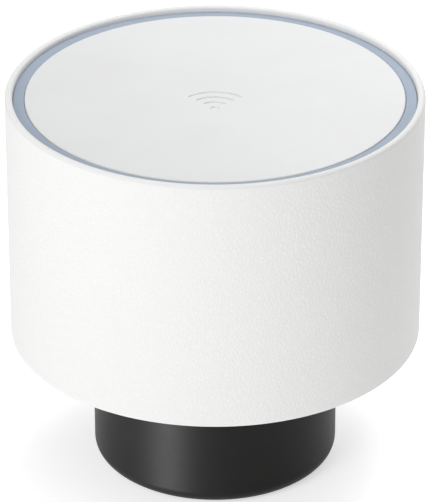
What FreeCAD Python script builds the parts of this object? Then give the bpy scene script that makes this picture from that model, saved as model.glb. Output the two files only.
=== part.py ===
"""Mesh wifi node: a wide drum on a narrow pedestal, with its ports in a bay at the back.

The origin is on the table, at the centre of the rubber foot.  +Z is up, the front
looks to -Y and the ports look to +Y.  All lengths are in millimetres.
"""
import FreeCAD, Part
import math
import operator
import os

import Sketcher
from FreeCAD import Placement, Rotation, Vector

NEAR = 1e-4
TO_REAR = Rotation(Vector(1, 0, 0), -90)        # turns a rod's length from +Z to +Y
OPERATIONS = {"+": operator.add, "-": operator.sub, "*": operator.mul, "/": operator.truediv}

doc = FreeCAD.newDocument("mesh_wifi_node")
sheet = doc.addObject("Spreadsheet::Sheet", "Sizes")
nodes = {}                                      # node name: its document object


# --- Sizes, kept in the sheet -------------------------------------------------

class Size:
    """A length that knows its number and the sheet expression that gives it."""

    def __init__(self, number, text=None):
        self.number = float(number)
        self.text = text or f"({number})"

    def __add__(self, other):
        return combine(self, "+", other)

    def __radd__(self, other):
        return combine(other, "+", self)

    def __sub__(self, other):
        return combine(self, "-", other)

    def __rsub__(self, other):
        return combine(other, "-", self)

    def __mul__(self, other):
        return combine(self, "*", other)

    def __truediv__(self, other):
        return combine(self, "/", other)

    def __neg__(self):
        return combine(0, "-", self)


def as_size(value):
    """Wrap a plain number, and pass a Size through."""
    return value if isinstance(value, Size) else Size(value)


def combine(left, sign, right):
    """Work out left sign right both as a number and as an expression."""
    left = as_size(left)
    right = as_size(right)
    number = OPERATIONS[sign](left.number, right.number)
    return Size(number, f"({left.text} {sign} {right.text})")


def size(name, number, note):
    """Add one driving dimension to the sheet and give it back."""
    row = size.row = size.row + 1
    sheet.set(f"A{row}", name)
    sheet.set(f"B{row}", f"{number}")
    sheet.set(f"C{row}", note)
    sheet.setAlias(f"B{row}", name)
    return Size(number, f"Sizes.{name}")


size.row = 0

# The outside.
drum_radius = size("drum_radius", 60.0, "outer radius of the drum")
drum_wall = size("drum_wall", 2.3, "thickness of the drum's sleeve")
drum_height = size("drum_height", 75.8, "height of the sleeve")
drum_edge = size("drum_edge", 0.7, "rounding of the sleeve's lower edge")
base_radius = size("base_radius", 35.85, "outer radius of the pedestal")
base_height = size("base_height", 41.0, "table to the sleeve's lower edge")
base_round = size("base_round", 4.2, "rounding of the pedestal's lower edge")
base_wall = size("base_wall", 2.2, "thickness of the pedestal's wall")
disc_radius = size("disc_radius", 54.3, "radius of the top disc")
disc_drop = size("disc_drop", 1.4, "sleeve's rim to the top disc")
ring_drop = size("ring_drop", 1.65, "sleeve's rim to the light ring")
ring_thick = size("ring_thick", 2.5, "thickness of the light ring's flange")
seam = size("seam", 0.1, "visible gap beside the light ring")
panel_thick = size("panel_thick", 2.0, "thickness of discs, covers and plates")
board_thick = size("board_thick", 1.6, "thickness of the circuit boards")

# The foot and the bottom of the pedestal.
foot_proud = size("foot_proud", 0.3, "foot standing below the pedestal")
foot_thick = size("foot_thick", 2.0, "thickness of the rubber foot")
foot_inner = size("foot_inner", 23.2, "inner radius of the foot")
foot_outer = size("foot_outer", 30.6, "outer radius of the foot")
floor_thick = size("floor_thick", 2.4, "thickness of the pedestal's floor")
ballast_radius = size("ballast_radius", 16.4, "radius of the steel ballast")
ballast_thick = size("ballast_thick", 6.0, "thickness of the steel ballast")
ballast_hole = size("ballast_hole", 11.0, "centre to each ballast screw")

# Holes for screws, and free gaps.
wide_hole = size("wide_hole", 1.7, "radius of the clearance holes for the thick screws")
fine_hole = size("fine_hole", 1.4, "radius of the clearance holes for the board screws")
frame_pilot = size("frame_pilot", 1.3, "radius of the pilot holes in the columns")
cup_pilot = size("cup_pilot", 1.05, "radius of the pilot holes in the pedestal")
fit_gap = size("fit_gap", 0.3, "free gap round a part in a wall or a sleeve")

# The screws that hold the pedestal to the drum.
mast_reach = size("mast_reach", 27.0, "centre to each pedestal screw")
mast_radius = size("mast_radius", 4.3, "radius of the bosses round those screws")
mast_bore = size("mast_bore", 3.2, "radius of the deep holes for their heads")
mast_seat = size("mast_seat", 34.2, "height of the seats of their heads")

# The port bay and the input board.
bay_face = size("bay_face", 19.0, "centre to the port panel's outer face")
bay_low = size("bay_low", 9.0, "height of the bay's floor")
bay_high = size("bay_high", 30.0, "height of the bay's ceiling")
port_board_low = size("port_board_low", 11.0, "height of the input board's underside")
jack_recess = size("jack_recess", 0.4, "jacks' faces behind the panel's outer face")
lan_spacing = size("lan_spacing", 17.4, "centre to centre of the network jacks")
lan_width = size("lan_width", 15.4, "width of a network jack")
lan_high = size("lan_high", 13.4, "height of a network jack")
lan_deep = size("lan_deep", 21.0, "length of a network jack")
lan_skin = size("lan_skin", 0.3, "thickness of a jack's metal shell")
lan_mouth_wide = size("lan_mouth_wide", 11.8, "width of a jack's mouth")
lan_mouth_high = size("lan_mouth_high", 6.8, "height of a jack's mouth")
lan_mouth_deep = size("lan_mouth_deep", 13.0, "depth of a jack's mouth")
power_x = size("power_x", -22.0, "sideways place of the power jack")
power_rise = size("power_rise", 6.5, "input board to the power jack's axis")
power_bore = size("power_bore", 3.15, "radius of the power jack's bore")
power_pin_radius = size("power_pin_radius", 1.0, "radius of its centre pin")
pair_x = size("pair_x", 20.8, "sideways place of the pairing button")
pair_rise = size("pair_rise", 4.2, "input board to the button's axis")
pair_radius = size("pair_radius", 2.8, "radius of the button's cap")
reset_x = size("reset_x", 26.6, "sideways place of the reset hole")
reset_rise = size("reset_rise", 2.0, "input board to the reset hole's axis")

# Inside the drum.
cover_low = size("cover_low", 42.0, "height of the underside cover's lower face")
cover_sink = size("cover_sink", 0.9, "depth of the seats of the cover's screws")
ledge_thick = size("ledge_thick", 1.6, "thickness of the ledge inside the sleeve")
ledge_inner = size("ledge_inner", 56.0, "inner radius of that ledge")
column_reach = size("column_reach", 51.5, "centre to each column")
column_radius = size("column_radius", 3.6, "radius of a column")
column_top = size("column_top", 101.4, "height of the columns' tops")
main_board_low = size("main_board_low", 56.0, "height of the main board's underside")
main_board_radius = size("main_board_radius", 46.0, "radius of the main board")
post_reach = size("post_reach", 26.0, "sideways place of the main board's posts")
sink_low = size("sink_low", 60.4, "height of the heatsink's underside")
sink_half = size("sink_half", 30.0, "half the width of the heatsink")
sink_base = size("sink_base", 3.0, "thickness of the heatsink's base")
sink_top = size("sink_top", 94.0, "height of the fins' tips")
fin_pitch = size("fin_pitch", 5.6, "fin to fin")
fin_thick = size("fin_thick", 1.5, "thickness of a fin")
card_reach = size("card_reach", 51.1, "centre to an antenna card's inner face")
card_thick = size("card_thick", 0.8, "thickness of an antenna card")
card_half = size("card_half", 15.0, "half the width of an antenna card")
card_high = size("card_high", 36.0, "height of an antenna card")
wire_radius = size("wire_radius", 0.6, "radius of the thin round cables")
led_board_low = size("led_board_low", 105.6, "height of the light board's underside")
led_reach = size("led_reach", 54.6, "centre to each light")
light_outer = size("light_outer", 57.1, "outer radius of the light board and baffle")

SEGMENT_LEDS = 24
VENTS = 36
CABLE_TURN = 22.5                               # degrees from +X to the light cable
MAST_PLACES = [(mast_reach, 0), (0, -mast_reach), (-mast_reach, 0)]
PORT_SCREWS = [(19.5, -9.5), (-19.5, -9.5), (24.3, 7.8)]
SIDES = {"right": 0, "rear": 90, "left": 180, "front": 270}

# Heights and radii that follow from the sizes above.
drum_top = base_height + drum_height
drum_inner = drum_radius - drum_wall
disc_top = drum_top - disc_drop
disc_low = disc_top - panel_thick
ring_top = drum_top - ring_drop
ring_low = ring_top - ring_thick
cover_high = cover_low + panel_thick
plate_low = cover_high + ledge_thick
plate_high = plate_low + panel_thick
frame_high = column_top + panel_thick
pedestal_inner = base_radius - base_wall
floor_top = foot_proud + floor_thick
port_board_high = port_board_low + board_thick
bay_inner = bay_face - panel_thick
jack_face = bay_face - jack_recess
main_board_high = main_board_low + board_thick
led_board_high = led_board_low + board_thick


# --- Sketches and features ----------------------------------------------------

def bind(thing, path, value):
    """Give one property its size: from the sheet where it has one."""
    value = as_size(value)
    setattr(thing, path, value.number)
    if "Sizes" in value.text:
        thing.setExpression(path, value.text)


def origin_part(body, role):
    """One of a body's own origin planes or axes."""
    return next(item for item in body.Origin.OriginFeatures if item.Role == role)


def fix_point(sketch, index, end, x, y):
    """Hold a sketch point at x, y, bound to the sheet."""
    for kind, axis, value in (("DistanceX", -2, as_size(x)), ("DistanceY", -1, as_size(y))):
        if abs(value.number) < NEAR:
            sketch.addConstraint(Sketcher.Constraint("PointOnObject", index, end, axis))
            continue
        row = sketch.addConstraint(Sketcher.Constraint(kind, -1, 1, index, end, value.number))
        if "Sizes" in value.text:
            sketch.setExpression(f"Constraints[{row}]", value.text)


def draw_outline(sketch, corners):
    """Draw one closed outline of straight sides through the corners."""
    first = sketch.GeometryCount
    spots = [Vector(as_size(x).number, as_size(y).number, 0) for x, y in corners]
    for start, finish in zip(spots, spots[1:] + spots[:1]):
        sketch.addGeometry(Part.LineSegment(start, finish))
    for step, (x, y) in enumerate(corners):
        following = first + (step + 1) % len(corners)
        sketch.addConstraint(Sketcher.Constraint("Coincident", first + step, 2, following, 1))
        fix_point(sketch, first + step, 1, x, y)


def draw_circle(sketch, x, y, radius):
    """Draw one circle."""
    radius = as_size(radius)
    centre = Vector(as_size(x).number, as_size(y).number, 0)
    index = sketch.addGeometry(Part.Circle(centre, Vector(0, 0, 1), radius.number))
    if abs(centre.x) < NEAR and abs(centre.y) < NEAR:
        sketch.addConstraint(Sketcher.Constraint("Coincident", index, 3, -1, 1))
    else:
        fix_point(sketch, index, 3, x, y)
    row = sketch.addConstraint(Sketcher.Constraint("Radius", index, radius.number))
    if "Sizes" in radius.text:
        sketch.setExpression(f"Constraints[{row}]", radius.text)


def draw_segment(sketch, radius, chord):
    """Draw the part of a circle about the origin that lies beyond y = chord."""
    start = math.asin(chord.number / radius.number)
    circle = Part.Circle(Vector(), Vector(0, 0, 1), radius.number)
    arc = sketch.addGeometry(Part.ArcOfCircle(circle, start, math.pi - start))
    half = radius.number * math.cos(start)
    ends = Vector(-half, chord.number, 0), Vector(half, chord.number, 0)
    line = sketch.addGeometry(Part.LineSegment(*ends))
    sketch.addConstraint(Sketcher.Constraint("Coincident", arc, 3, -1, 1))
    sketch.addConstraint(Sketcher.Constraint("Coincident", arc, 2, line, 1))
    sketch.addConstraint(Sketcher.Constraint("Coincident", arc, 1, line, 2))
    sketch.addConstraint(Sketcher.Constraint("Horizontal", line))
    row = sketch.addConstraint(Sketcher.Constraint("Radius", arc, radius.number))
    sketch.setExpression(f"Constraints[{row}]", radius.text)
    row = sketch.addConstraint(Sketcher.Constraint("DistanceY", -1, 1, line, 1, chord.number))
    sketch.setExpression(f"Constraints[{row}]", chord.text)


def turned(corners, degrees):
    """Turn outline corners about the origin."""
    cosine = round(math.cos(math.radians(degrees)), 9)
    sine = round(math.sin(math.radians(degrees)), 9)
    pairs = [(as_size(x), as_size(y)) for x, y in corners]
    return [(x * cosine - y * sine, x * sine + y * cosine) for x, y in pairs]


def rectangle(x_low, x_high, y_low, y_high):
    """The four corners of a rectangle."""
    return [(x_low, y_low), (x_high, y_low), (x_high, y_high), (x_low, y_high)]


class Piece:
    """A PartDesign body, built up with short calls."""

    def __init__(self, name):
        self.body = doc.addObject("PartDesign::Body", name)
        self.body.Label = name
        nodes[name] = self.body

    def sketch(self, plane="XY_Plane", lift=0):
        """A new sketch on an origin plane, lifted along the plane's normal."""
        sketch = self.body.newObject("Sketcher::SketchObject", "Sketch")
        sketch.AttachmentSupport = [(origin_part(self.body, plane), "")]
        sketch.MapMode = "FlatFace"
        lift = as_size(lift)
        sketch.AttachmentOffset = Placement(Vector(0, 0, lift.number), Rotation())
        if "Sizes" in lift.text:
            sketch.setExpression("AttachmentOffset.Base.z", lift.text)
        return sketch

    def revolve(self, corners):
        """Turn an outline of (radius, height) corners about Z."""
        sketch = self.sketch("XZ_Plane")
        draw_outline(sketch, corners)
        feature = self.body.newObject("PartDesign::Revolution", "Revolution")
        feature.Profile = sketch
        feature.ReferenceAxis = (sketch, ["V_Axis"])
        feature.Angle = 360
        return feature

    def pad(self, sketch, length):
        """Build a sketch up along its plane's normal."""
        feature = self.body.newObject("PartDesign::Pad", "Pad")
        feature.Profile = sketch
        bind(feature, "Length", length)
        return feature

    def pocket(self, sketch, length, reverse=False):
        """Cut a sketch against its plane's normal, or along it."""
        doc.recompute()
        before = self.body.Shape.Volume
        feature = self.body.newObject("PartDesign::Pocket", "Pocket")
        feature.Profile = sketch
        feature.Reversed = reverse
        bind(feature, "Length", length)
        doc.recompute()
        if self.body.Shape.Volume > before - NEAR:
            raise ValueError(f"{self.body.Label}: a pocket cuts nothing")
        return feature

    def repeat(self, features, count):
        """Repeat features round Z."""
        pattern = self.body.newObject("PartDesign::PolarPattern", "PolarPattern")
        pattern.Originals = features
        pattern.Axis = (origin_part(self.body, "Z_Axis"), [""])
        pattern.Angle = 360
        pattern.Occurrences = count
        self.body.Tip = pattern
        return pattern

    def soften(self, radius, picks):
        """Round the edges that are circles of these radii and heights."""
        doc.recompute()
        base = self.body.Tip
        names = []
        for index, edge in enumerate(base.Shape.Edges, 1):
            if any(is_rim(edge, rim_radius, height) for rim_radius, height in picks):
                names.append(f"Edge{index}")
        if len(names) < len(picks):
            raise ValueError(f"{self.body.Label}: an edge to round is missing")
        feature = self.body.newObject("PartDesign::Fillet", "Fillet")
        feature.Base = (base, names)
        bind(feature, "Radius", radius)
        return feature


def is_rim(edge, radius, height):
    """Whether an edge is a circle of this radius at this height."""
    if not isinstance(edge.Curve, Part.Circle):
        return False
    centre = edge.Curve.Center
    level = abs(centre.z - as_size(height).number) < NEAR and abs(edge.Curve.Axis.z) > 0.99
    return level and abs(edge.Curve.Radius - as_size(radius).number) < NEAR


# --- Simple solids and booleans -----------------------------------------------

def place(thing, spot, turn=None):
    """Put a solid at a spot, bound to the sheet."""
    values = [as_size(value) for value in spot]
    thing.Placement = Placement(Vector(*[value.number for value in values]), turn or Rotation())
    for axis, value in zip("xyz", values):
        if "Sizes" in value.text:
            thing.setExpression(f"Placement.Base.{axis}", value.text)
    return thing


def make_box(low, high):
    """A box between two corners."""
    box = doc.addObject("Part::Box", "Box")
    for path, start, finish in zip(("Length", "Width", "Height"), low, high):
        bind(box, path, as_size(finish) - start)
    return place(box, low)


def make_rod(radius, length, spot, turn=None):
    """A round rod that starts at a spot."""
    rod = doc.addObject("Part::Cylinder", "Rod")
    bind(rod, "Radius", radius)
    bind(rod, "Height", length)
    return place(rod, spot, turn)


def make_turned_box(low, high, degrees):
    """A box given along one radius, turned about Z."""
    box = make_box(low, high)
    corner = turned([(low[0], low[1])], degrees)[0]
    return place(box, (*corner, low[2]), Rotation(Vector(0, 0, 1), degrees))


def fuse(shapes):
    """Join solids into one."""
    if len(shapes) == 1:
        return shapes[0]
    joined = doc.addObject("Part::MultiFuse", "Join")
    joined.Shapes = shapes
    return joined


def cut(base, tools):
    """Cut tools out of a solid."""
    result = doc.addObject("Part::Cut", "Cut")
    result.Base = base
    result.Tool = fuse(tools)
    return result


def group(solids):
    """Keep separate solids together as one node."""
    bundle = doc.addObject("Part::Compound", "Group")
    bundle.Links = solids
    return bundle


def node(name, thing):
    """Name a finished piece."""
    thing.Label = name
    nodes[name] = thing
    return thing


def make_screw(x, y, seat, head, shank, head_up=True):
    """A socket-head screw whose head rests on its seat: head and shank are (radius, length)."""
    head_start = seat if head_up else seat - head[1]
    shank_start = seat - shank[1] if head_up else seat
    socket_depth = head[1] * 0.6
    socket_start = seat + head[1] - socket_depth if head_up else seat - head[1]
    socket = doc.addObject("Part::Prism", "Socket")
    socket.Polygon = 6
    socket.Circumradius = head[0] * 0.5
    socket.Height = socket_depth
    place(socket, (x, y, socket_start))
    body = fuse([make_rod(*head, (x, y, head_start)), make_rod(*shank, (x, y, shank_start))])
    return cut(body, [socket])


def corners_of_four(reach):
    """Four places at 45 degrees, each this far from the centre."""
    side = reach * math.sqrt(0.5)
    return [(side, side), (-side, side), (-side, -side), (side, -side)]


def round_route(points, share=0.45):
    """A wire of straight runs joined by tangent arcs, and the arcs' radii."""
    edges = []
    radii = []
    start = points[0]
    for before, corner, after in zip(points, points[1:], points[2:]):
        back = (before - corner).normalize()
        ahead = (after - corner).normalize()
        trim = share * min((before - corner).Length, (after - corner).Length)
        half_inside = back.getAngle(ahead) / 2
        radius = trim * math.tan(half_inside)
        centre = corner + (back + ahead).normalize() * (trim / math.cos(half_inside))
        middle = centre + (corner - centre).normalize() * radius
        arc = Part.Arc(corner + back * trim, middle, corner + ahead * trim)
        edges += [Part.LineSegment(start, corner + back * trim).toShape(), arc.toShape()]
        radii.append(round(radius, 1))
        start = corner + ahead * trim
    edges.append(Part.LineSegment(start, points[-1]).toShape())
    return Part.Wire(edges), radii


def sweep(name, route, section, area):
    """A cable: its section carried along its route, with the volume compared."""
    wire, radii = round_route(route)
    shape = wire.makePipeShell([section], True, False)
    drift = abs(shape.Volume / (area * wire.Length) - 1)
    if drift > 0.02:
        raise ValueError(f"{name}: the cable's volume is wrong")
    print(name, "length", round(wire.Length, 1), "radii", radii)
    cable = doc.addObject("Part::Feature", name)
    cable.Shape = shape
    cable.Placement = Placement()
    return node(name, cable)


def round_cable(name, route):
    """A thin round cable along a route."""
    radius = wire_radius.number
    circle = Part.Circle(route[0], route[1] - route[0], radius).toShape()
    return sweep(name, route, Part.Wire([circle]), math.pi * radius ** 2)


# --- Outer shell --------------------------------------------------------------

def outer_sleeve():
    """The drum's wall: a tube with a half-round rim and a ledge that is clamped inside."""
    rim_share = 0.495           # a little under half, so the rim's two roundings don't meet
    piece = Piece("outer_sleeve")
    piece.revolve([
        (drum_inner, base_height), (drum_radius, base_height),
        (drum_radius, drum_top), (drum_inner, drum_top),
        (drum_inner, plate_low), (ledge_inner, plate_low),
        (ledge_inner, cover_high), (drum_inner, cover_high)])
    piece.soften(drum_wall * rim_share, [(drum_radius, drum_top), (drum_inner, drum_top)])
    piece.soften(drum_edge, [(drum_radius, base_height)])


def underside_cover():
    """The disc that closes the drum from below, with a ring of vents."""
    hole = 24
    vent_near = 38.5
    vent_far = 46.5
    vent_half = 1
    sink_radius = 2.7
    piece = Piece("underside_cover")
    piece.revolve(rectangle(hole, drum_inner - fit_gap, cover_low, cover_high))
    vent = piece.sketch(lift=cover_high)
    draw_outline(vent, rectangle(vent_near, vent_far, -vent_half, vent_half))
    piece.repeat([piece.pocket(vent, panel_thick)], VENTS)
    holes = piece.sketch(lift=cover_high)
    for x, y in MAST_PLACES + corners_of_four(column_reach):
        draw_circle(holes, x, y, wide_hole)
    piece.pocket(holes, panel_thick)
    sinks = piece.sketch(lift=cover_low)
    for x, y in corners_of_four(column_reach):
        draw_circle(sinks, x, y, sink_radius)
    piece.pocket(sinks, cover_sink, reverse=True)


def top_disc():
    """The flat top, held by four hooks, with three arcs and a dot pressed into it."""
    disc_edge = 0.35
    hook_near = Size(47.5)
    hook_far = hook_near + 1.6
    barb_far = hook_far + 1.1
    barb_thick = 1.6
    hook_half = 2.5
    hook_low = column_top - 1.8
    piece = Piece("top_disc_blank")
    nodes.pop("top_disc_blank")
    face = piece.sketch(lift=disc_low)
    draw_circle(face, 0, 0, disc_radius)
    piece.pad(face, panel_thick)
    piece.soften(disc_edge, [(disc_radius, disc_top)])
    hook = piece.sketch(lift=hook_low)
    draw_outline(hook, rectangle(hook_near, hook_far, -hook_half, hook_half))
    stem = piece.pad(hook, disc_low - hook_low)
    barb = piece.sketch(lift=hook_low)
    draw_outline(barb, rectangle(hook_far, barb_far, -hook_half, hook_half))
    tip = piece.pad(barb, barb_thick)
    piece.repeat([stem, tip], 4)

    groove = 1.2
    depth = 0.3
    rod_high = depth + 1        # past the disc's face, for a clean cut
    dot_radius = 1.3
    dot = (0, -8.5, disc_top - depth)
    arc_radii = (4.0, 7.2, 10.4)
    quarter = Rotation(Vector(0, 0, 1), 45)
    marks = [make_rod(dot_radius, rod_high, dot)]
    for middle in arc_radii:
        outside = make_rod(middle + groove / 2, rod_high, dot, quarter)
        inside = make_rod(middle - groove / 2, rod_high, dot, quarter)
        outside.Angle = 90
        inside.Angle = 90
        marks.append(cut(outside, [inside]))
    node("top_disc", cut(piece.body, marks))


def light_ring():
    """The frosted ring between sleeve and disc: a flange on a leg that takes in the light."""
    inner = disc_radius + seam
    outer = drum_inner - seam
    leg_half = 0.6
    leg_low = led_board_high + 1.6
    ring_edge = 0.25
    piece = Piece("light_ring")
    piece.revolve([
        (led_reach - leg_half, leg_low), (led_reach + leg_half, leg_low),
        (led_reach + leg_half, ring_low), (outer, ring_low), (outer, ring_top),
        (inner, ring_top), (inner, ring_low), (led_reach - leg_half, ring_low)])
    piece.soften(ring_edge, [(outer, ring_top), (inner, ring_top)])


# --- Light engine and top frame -----------------------------------------------

def light_baffle():
    """A white channel that keeps the light in the ring's leg; the disc rests on it."""
    wall = 1.2
    web_thick = 0.6
    web_high = led_board_high + web_thick
    far = light_outer - wall    # outer face of the channel's room
    near = 52.2                 # inner face of the inner wall
    room = near + wall          # inner face of the channel's room
    window_half = 1.4
    piece = Piece("light_baffle")
    piece.revolve([
        (near, led_board_high), (light_outer, led_board_high), (light_outer, ring_low),
        (far, ring_low), (far, web_high), (room, web_high), (room, disc_low), (near, disc_low)])
    window = piece.sketch(lift=web_high)
    draw_outline(window, rectangle(room + 0.05, far - 0.1, -window_half, window_half))
    piece.repeat([piece.pocket(window, web_thick)], SEGMENT_LEDS)


def led_board():
    """The ring-shaped board that carries the lights."""
    inner = 50.6
    piece = Piece("led_board")
    piece.revolve(rectangle(inner, light_outer, led_board_low, led_board_high))


def leds():
    """The lights, evenly spaced under the ring's leg."""
    half = 1
    high = 0.8
    piece = Piece("leds")
    light = piece.sketch(lift=led_board_high)
    draw_outline(light, rectangle(led_reach - half, led_reach + half, -half, half))
    piece.repeat([piece.pad(light, high)], SEGMENT_LEDS)


def top_frame():
    """The plate on the columns that carries the light engine and holds the disc's hooks."""
    inner = 30
    outer = 57.2
    lip = outer - 2
    vent_near = 33
    vent_far = 43
    vent_half = 1.5
    slot_far = 50.5
    hook_slot = rectangle(47.2, slot_far, -3, 3)
    cable_slot = rectangle(40, slot_far, -2, 2)
    piece = Piece("top_frame")
    piece.revolve([
        (inner, column_top), (outer, column_top), (outer, led_board_low),
        (lip, led_board_low), (lip, frame_high), (inner, frame_high)])
    vent = piece.sketch(lift=frame_high)
    draw_outline(vent, rectangle(vent_near, vent_far, -vent_half, vent_half))
    piece.repeat([piece.pocket(vent, panel_thick)], SEGMENT_LEDS)
    slots = piece.sketch(lift=frame_high)
    for degrees in SIDES.values():
        draw_outline(slots, turned(hook_slot, degrees))
    draw_outline(slots, turned(cable_slot, CABLE_TURN))
    for x, y in corners_of_four(column_reach):
        draw_circle(slots, x, y, wide_hole)
    piece.pocket(slots, panel_thick)


# --- Chassis and underside ----------------------------------------------------

def chassis():
    """The inner frame: a plate on the sleeve's ledge, four columns, posts and card rails."""
    plate_inner = 20
    plate_outer = drum_inner - 0.4
    vent = rectangle(39.5, 47.5, -2.5, 2.5)
    boss_radius = 4
    boss_high = 9
    post_radius = 3
    rail_high = 22.4
    mast_pilot = 1.5
    post_pilot = 1.25
    piece = Piece("chassis")
    piece.revolve(rectangle(plate_inner, plate_outer, plate_low, plate_high))
    vents = piece.sketch(lift=plate_high)
    draw_outline(vents, vent)
    piece.repeat([piece.pocket(vents, panel_thick)], 12)
    columns = piece.sketch(lift=cover_high)
    for x, y in corners_of_four(column_reach):
        draw_circle(columns, x, y, column_radius)
    piece.pad(columns, column_top - cover_high)
    bosses = piece.sketch(lift=cover_high)
    for x, y in MAST_PLACES:
        draw_circle(bosses, x, y, boss_radius)
    piece.pad(bosses, boss_high)
    posts = piece.sketch(lift=plate_low)
    for x, y in four_posts():
        draw_circle(posts, x, y, post_radius)
    piece.pad(posts, main_board_low - plate_low)
    rails = piece.sketch(lift=plate_low)
    for degrees in SIDES.values():
        for side in (-1, 1):
            draw_outline(rails, turned(rail_outline(side), degrees))
    piece.pad(rails, rail_high)

    low_pilot_deep = 10
    top_pilot_deep = 12
    post_pilot_deep = 7
    low_pilots = piece.sketch(lift=cover_high)
    for x, y in corners_of_four(column_reach):
        draw_circle(low_pilots, x, y, frame_pilot)
    for x, y in MAST_PLACES:
        draw_circle(low_pilots, x, y, mast_pilot)
    piece.pocket(low_pilots, low_pilot_deep, reverse=True)
    top_pilots = piece.sketch(lift=column_top)
    for x, y in corners_of_four(column_reach):
        draw_circle(top_pilots, x, y, frame_pilot)
    piece.pocket(top_pilots, top_pilot_deep)
    post_pilots = piece.sketch(lift=main_board_low)
    for x, y in four_posts():
        draw_circle(post_pilots, x, y, post_pilot)
    piece.pocket(post_pilots, post_pilot_deep)


def four_posts():
    """Where the main board and heatsink are screwed down."""
    return [(post_reach * x, post_reach * y) for x, y in ((1, 1), (-1, 1), (-1, -1), (1, -1))]


def rail_outline(side):
    """The channel that holds one edge of an antenna card, for the card at +X."""
    wall = 1.4
    play = 0.1
    overlap = 1
    inner = card_reach - wall
    outer = card_reach + card_thick + wall
    slot_in = card_reach - play
    slot_out = card_reach + card_thick + play
    near = card_half - overlap
    deep = card_half + play * 2
    far = deep + 1.6
    corners = [(inner, near), (slot_in, near), (slot_in, deep), (slot_out, deep),
               (slot_out, near), (outer, near), (outer, far), (inner, far)]
    return [(x, y * side) for x, y in corners]


# --- Main board, cooling and radios -------------------------------------------

def main_board():
    """The round main board."""
    piece = Piece("main_board")
    outline = piece.sketch(lift=main_board_low)
    draw_circle(outline, 0, 0, main_board_radius)
    for x, y in four_posts():
        draw_circle(outline, x, y, fine_hole)
    piece.pad(outline, board_thick)


def chips():
    """What stands on the main board: processor, memory, shields, pads, coils, capacitors."""
    low = main_board_high
    chip_half = 9.5
    chip_high = low + 1.3
    memory_high = low + 1
    shield_high = low + 2
    coil_high = low + 3.2
    memory_spots = [((-24, -15), (-14, -3)), ((-24, 3), (-14, 15))]
    shield_spots = [((13, -19), (27, -3)), ((13, 3), (27, 19)), ((-9, 14), (9, 26))]
    coil_spots = [((x - 3, -39), (x + 3, -33)) for x in (-16, -8, 8, 16)]
    can_spots = [(36, -12), (-36, -12), (-36, 12)]
    can_radius = 2.6
    can_high = 5.5

    def blocks(spots, start, finish):
        return [make_box((*near, start), (*far, finish)) for near, far in spots]

    node("processor", make_box((-chip_half, -chip_half, low), (chip_half, chip_half, chip_high)))
    node("memory_chips", group(blocks(memory_spots, low, memory_high)))
    node("radio_shields", group(blocks(shield_spots, low, shield_high)))
    pads = blocks(shield_spots, shield_high, sink_low)
    pads.append(make_box((-chip_half, -chip_half, chip_high), (chip_half, chip_half, sink_low)))
    node("thermal_pads", group(pads))
    node("power_coils", group(blocks(coil_spots, low, coil_high)))
    node("capacitors", group([make_rod(can_radius, can_high, (x, y, low)) for x, y in can_spots]))


def heatsink():
    """The finned heatsink, pressed on the chips by four screws."""
    last = 5                    # fins on each side of the middle one
    screw_room = 10             # how much shorter each end of the outermost fins is
    piece = Piece("heatsink")
    base = piece.sketch(lift=sink_low)
    draw_outline(base, rectangle(-sink_half, sink_half, -sink_half, sink_half))
    for x, y in four_posts():
        draw_circle(base, x, y, fine_hole)
    piece.pad(base, sink_base)
    fins = piece.sketch(lift=sink_low + sink_base)
    for step in range(-last, last + 1):
        half_long = sink_half - screw_room if abs(step) == last else sink_half
        middle = fin_pitch * step
        edges = (middle - fin_thick / 2, middle + fin_thick / 2)
        draw_outline(fins, rectangle(*edges, -half_long, half_long))
    piece.pad(fins, sink_top - sink_low - sink_base)


def board_spacers():
    """Short tubes between the main board and the heatsink."""
    spacer_radius = 2.2
    piece = Piece("board_spacers")
    rings = piece.sketch(lift=main_board_high)
    for x, y in four_posts():
        draw_circle(rings, x, y, spacer_radius)
        draw_circle(rings, x, y, fine_hole)
    piece.pad(rings, sink_low - main_board_high)


def antennas():
    """Four antenna cards on the chassis, each with its thin coaxial cable and plug."""
    plugs = []
    plug_outer = 41.5
    plug_long = 3
    plug_half = 1.5
    plug_high = 2.2
    cable_rise = 1.3            # main board to the cable's axis
    cable_climb = 13            # how far the cable climbs beside its card
    cable_gap = 0.1
    for side, degrees in SIDES.items():
        card = make_turned_box((card_reach, -card_half, plate_high),
                               (card_reach + card_thick, card_half, plate_high + card_high),
                               degrees)
        node(f"antenna_{side}", card)
        low = (plug_outer - plug_long, -plug_half, main_board_high)
        high = (plug_outer, plug_half, main_board_high + plug_high)
        plugs.append(make_turned_box(low, high, degrees))
        reach = card_reach.number - wire_radius.number - cable_gap
        level = main_board_high.number + cable_rise
        spin = Rotation(Vector(0, 0, 1), degrees)
        route = [Vector(reach, 0, level + cable_climb), Vector(reach, 0, level),
                 Vector(plug_outer, 0, level)]
        round_cable(f"antenna_cable_{side}", [spin.multVec(point) for point in route])
    node("antenna_plugs", group(plugs))


def led_cable():
    """The cable from the main board up to the light board, with a plug at each end."""
    drop = 43.0                 # centre to the cable's upright run
    plug_half = 2.5
    low_half = 1.6
    low_plug_high = 3
    high_near = 51
    high_far = 54.4
    low_plug = ((drop - low_half, -plug_half, main_board_high),
                (drop + low_half, plug_half, main_board_high + low_plug_high))
    high_plug = ((high_near, -plug_half, frame_high + 0.1), (high_far, plug_half, led_board_low))
    node("led_plugs", group([make_turned_box(*low_plug, CABLE_TURN),
                             make_turned_box(*high_plug, CABLE_TURN)]))
    exit_level = frame_high.number + 1.15
    spin = Rotation(Vector(0, 0, 1), CABLE_TURN)
    route = [Vector(high_near, 0, exit_level), Vector(drop, 0, exit_level),
             Vector(drop, 0, main_board_high.number + low_plug_high)]
    round_cable("led_cable", [spin.multVec(point) for point in route])


# --- Pedestal and ports -------------------------------------------------------

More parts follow.
